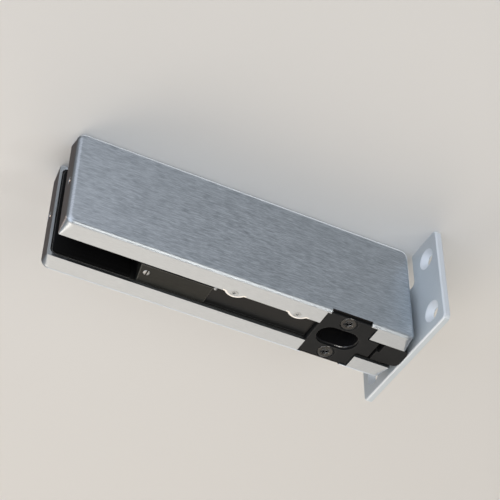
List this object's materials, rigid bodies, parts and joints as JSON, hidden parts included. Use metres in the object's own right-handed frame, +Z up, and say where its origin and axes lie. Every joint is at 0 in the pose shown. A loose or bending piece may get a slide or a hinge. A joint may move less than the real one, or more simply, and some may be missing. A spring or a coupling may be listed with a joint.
{
  "type": "glass door patch fitting",
  "caption": "Long box-shaped clamp for the corner of frameless glass, with brushed covers, a black socket block in the lower edge for a door spindle and a flat end plate for fixing to a wall.",
  "frame": {"origin": "centre of the socket in the lower plane of the fitting", "axes": "+X along the length towards the end plate, +Y towards the rear cover, +Z up to the side where the glass comes in"},
  "size_m": [0.172, 0.07, 0.054],
  "materials": {
    "brushed_cover": "fine hairline brushing along the length",
    "black_casting": "semi-matte black coat",
    "black_steel": "semi-matte black oxide",
    "gasket_rubber": "matte",
    "packing_plastic": "dark, matte",
    "liner_plastic": "glossy black",
    "satin_plate": "satin",
    "bright_steel": "bright zinc",
    "dark_screw": "blackened"
  },
  "bodies": {
    "root": {"front_cover": "brushed_cover", "rear_cover": "brushed_cover", "front_jaw": "black_casting", "rear_jaw": "black_casting", "front_gasket": "gasket_rubber", "rear_gasket": "gasket_rubber", "glass_edge_pad": "gasket_rubber", "packing_block": "packing_plastic", "packing_screw": "bright_steel", "packing_pin": "bright_steel", "socket_block": "black_steel", "socket_liner": "liner_plastic", "socket_screws": "dark_screw", "end_arm": "black_steel", "end_plate": "satin_plate", "arm_screws": "dark_screw", "ear_screws": "bright_steel", "cover_end_screws": "bright_steel", "clamp_bolts": "dark_screw", "clamp_washers": "bright_steel"}
  },
  "joints": []
}
